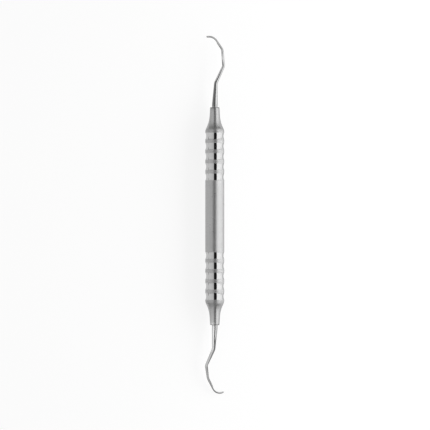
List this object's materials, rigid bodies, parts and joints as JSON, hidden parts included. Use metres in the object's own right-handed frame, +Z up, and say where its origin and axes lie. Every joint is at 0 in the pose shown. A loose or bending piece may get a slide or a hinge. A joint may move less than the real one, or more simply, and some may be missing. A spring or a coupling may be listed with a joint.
{
  "type": "periodontal curette",
  "caption": "Double-ended hand instrument for scaling below the gum line: a round grooved steel handle with a slim bent shank and a half-moon blade at each end.",
  "frame": {"origin": "on the surface that the handle lies on, under the middle of the handle tube", "axes": "+Y along the handle to the upper working end, +X towards the side that the upper shank bows to, +Z up from the surface"},
  "size_m": [0.0099, 0.179, 0.0095],
  "materials": {
    "satin_steel": "fine bead-blasted satin, with the grip grooves polished bright",
    "polished_steel": "polished bright, with fine lengthwise lines"
  },
  "bodies": {
    "root": {"handle_tube": "satin_steel", "upper_collar": "satin_steel", "lower_collar": "satin_steel", "upper_working_end": "polished_steel", "lower_working_end": "polished_steel"}
  },
  "joints": []
}
